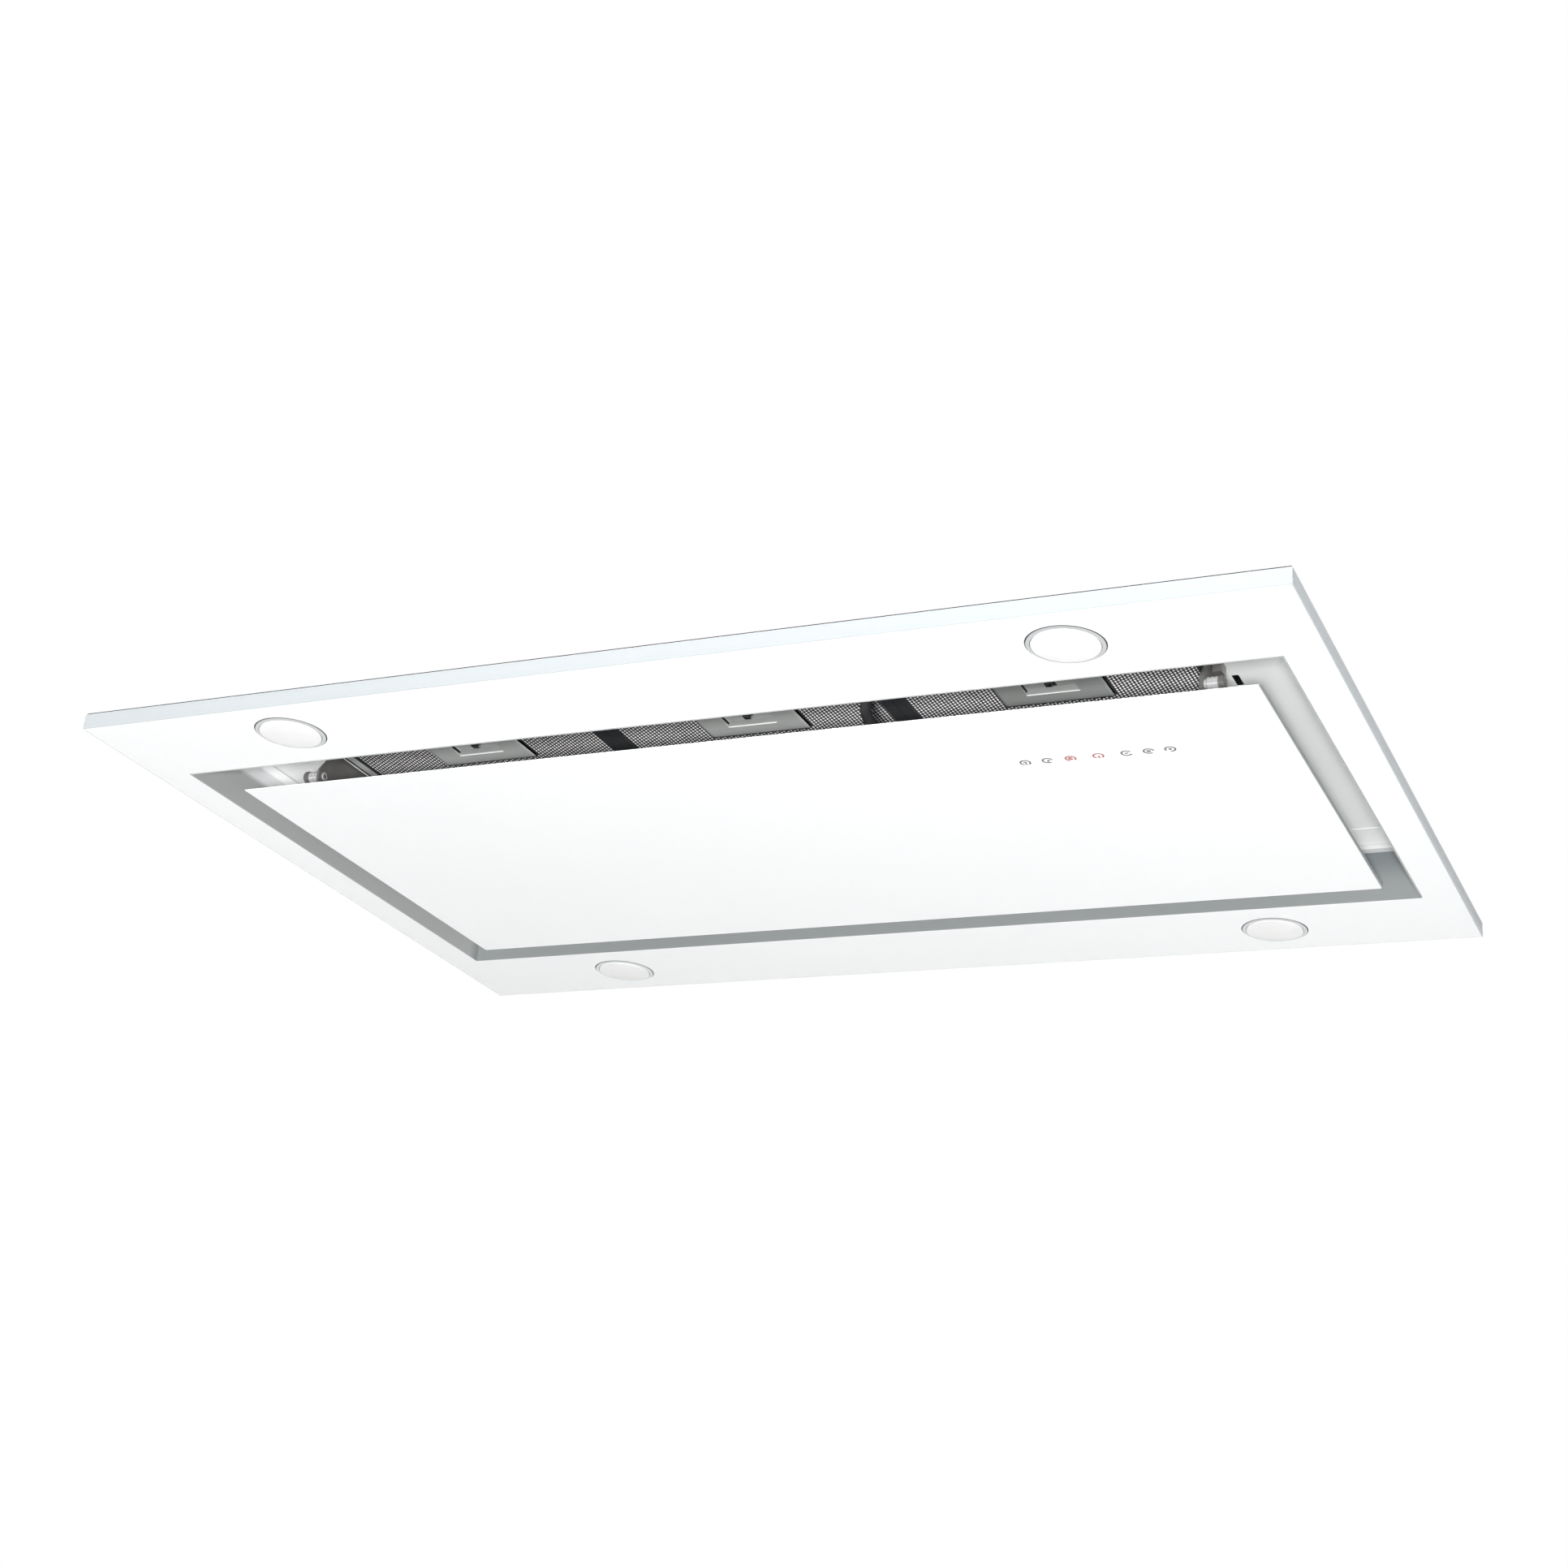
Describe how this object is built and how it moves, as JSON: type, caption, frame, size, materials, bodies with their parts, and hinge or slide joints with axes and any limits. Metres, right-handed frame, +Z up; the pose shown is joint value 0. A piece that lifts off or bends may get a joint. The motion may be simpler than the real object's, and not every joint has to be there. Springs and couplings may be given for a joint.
{
  "type": "ceiling range hood",
  "caption": "Ceiling range hood with a white glass frame, a hinged glass panel over grease filters, lamps, a blower with a duct collar and suspension brackets.",
  "frame": {"origin": "centre of the glass panel's underside, the lowest face of the hood", "axes": "+X along the long side, -Y towards the side with the panel's hinges, +Z up towards the ceiling slab"},
  "size_m": [0.9, 0.6, 0.2825],
  "materials": {
    "white_glass": "gloss, back-painted white",
    "white_steel": "white powder coat",
    "grey_steel": "light grey powder coat",
    "zinc_steel": "galvanised",
    "chrome_ring": "polished",
    "clear_lens": "clear, slightly frosted",
    "circuit_board": "green solder mask",
    "black_aluminium": "black anodised",
    "spring_steel": "bright rolled",
    "black_plastic": "fine grain",
    "dark_steel": "dark phosphate",
    "chrome_steel": "polished",
    "grey_plastic": "moulded",
    "bright_steel": "zinc plated",
    "motor_enamel": "grey enamel",
    "black_rubber": "matte",
    "white_plastic": "smooth",
    "grey_sheath": "smooth sheath",
    "filter_aluminium": "satin",
    "filter_mesh": "expanded mesh",
    "filter_plate": "satin"
  },
  "bodies": {
    "hood": {"glass_frame": "white_glass", "fascia_rim": "white_steel", "ceiling_seal": "black_rubber", "recess_tray": "grey_steel", "lamp_bezels": "chrome_ring", "lamp_lenses": "clear_lens", "lamp_boards": "circuit_board", "lamp_housings": "black_aluminium", "lamp_springs": "spring_steel", "hinge_ears": "dark_steel", "hinge_pins": "dark_steel", "catch_posts": "black_plastic", "catch_magnets": "dark_steel", "far_rail": "grey_steel", "filter_keepers": "spring_steel", "base_box": "zinc_steel", "motor_housing": "zinc_steel", "housing_lid": "zinc_steel", "blower_plate": "zinc_steel", "inlet_ring": "grey_plastic", "scroll_lower": "grey_plastic", "scroll_upper": "grey_plastic", "motor": "motor_enamel", "motor_bracket": "zinc_steel", "motor_dampers": "black_rubber", "motor_capacitor": "white_plastic", "outlet_transition": "grey_plastic", "outlet_collar": "grey_plastic", "flap_spindle": "bright_steel", "electronics_box": "zinc_steel", "electronics_cover": "zinc_steel", "power_board": "circuit_board", "cable_gland": "black_plastic", "lamp_driver": "white_plastic", "suspension_brackets": "zinc_steel", "panel_lead": "grey_sheath", "lead_grommet": "black_rubber", "body_screws": "bright_steel"},
    "panel": {"panel_glass": "white_glass", "panel_tray": "zinc_steel", "control_cover": "black_plastic", "touch_board": "circuit_board", "strike_plates": "zinc_steel", "hinge_leaves": "chrome_steel"},
    "filter_1": {"filter_frame_1": "filter_aluminium", "filter_mesh_1": "filter_mesh", "filter_handle_1": "filter_plate"},
    "latch_1": {"filter_latch_1": "black_plastic"},
    "filter_2": {"filter_frame_2": "filter_aluminium", "filter_mesh_2": "filter_mesh", "filter_handle_2": "filter_plate"},
    "latch_2": {"filter_latch_2": "black_plastic"},
    "filter_3": {"filter_frame_3": "filter_aluminium", "filter_mesh_3": "filter_mesh", "filter_handle_3": "filter_plate"},
    "latch_3": {"filter_latch_3": "black_plastic"},
    "fan": {"impeller": "black_plastic", "motor_shaft": "bright_steel"},
    "flap_left": {"damper_flap_left": "black_plastic"},
    "flap_right": {"damper_flap_right": "black_plastic"}
  },
  "joints": [
    {"name": "panel_hinge", "type": "hinge", "parent": "hood", "child": "panel", "pos_m": [0, -0.142, 0.0235], "axis": [-1, 0, 0], "range_deg": [0, 60], "deforming": ["panel_lead"]},
    {"name": "filter_tilt_1", "type": "hinge", "parent": "hood", "child": "filter_1", "pos_m": [0, 0.1508, 0.0515], "axis": [1, 0, 0], "range_deg": [0, 6], "deforming": ["filter_keepers"]},
    {"name": "latch_slide_1", "type": "slide", "parent": "filter_1", "child": "latch_1", "axis": [0, 1, 0], "range_m": [0, 0.006], "stiffness_N_per_m": 150, "springref_m": -0.004},
    {"name": "filter_tilt_2", "type": "hinge", "parent": "hood", "child": "filter_2", "pos_m": [0, 0.1508, 0.0515], "axis": [1, 0, 0], "range_deg": [0, 6], "deforming": ["filter_keepers"]},
    {"name": "latch_slide_2", "type": "slide", "parent": "filter_2", "child": "latch_2", "axis": [0, 1, 0], "range_m": [0, 0.006], "stiffness_N_per_m": 150, "springref_m": -0.004},
    {"name": "filter_tilt_3", "type": "hinge", "parent": "hood", "child": "filter_3", "pos_m": [0, 0.1508, 0.0515], "axis": [1, 0, 0], "range_deg": [0, 6], "deforming": ["filter_keepers"]},
    {"name": "latch_slide_3", "type": "slide", "parent": "filter_3", "child": "latch_3", "axis": [0, 1, 0], "range_m": [0, 0.006], "stiffness_N_per_m": 150, "springref_m": -0.004},
    {"name": "fan_spin", "type": "hinge", "parent": "hood", "child": "fan", "pos_m": [-0.018, -0.02, 0.1636], "axis": [0, 0, 1], "continuous": true},
    {"name": "flap_left_swing", "type": "hinge", "parent": "hood", "child": "flap_left", "pos_m": [0.081, 0.177, 0.1861], "axis": [0, 0, -1], "range_deg": [0, 75], "stiffness_Nm_per_rad": 0.01, "springref_deg": -17.19},
    {"name": "flap_right_swing", "type": "hinge", "parent": "hood", "child": "flap_right", "pos_m": [0.081, 0.177, 0.1861], "axis": [0, 0, 1], "range_deg": [0, 75], "stiffness_Nm_per_rad": 0.01, "springref_deg": -17.19}
  ]
}
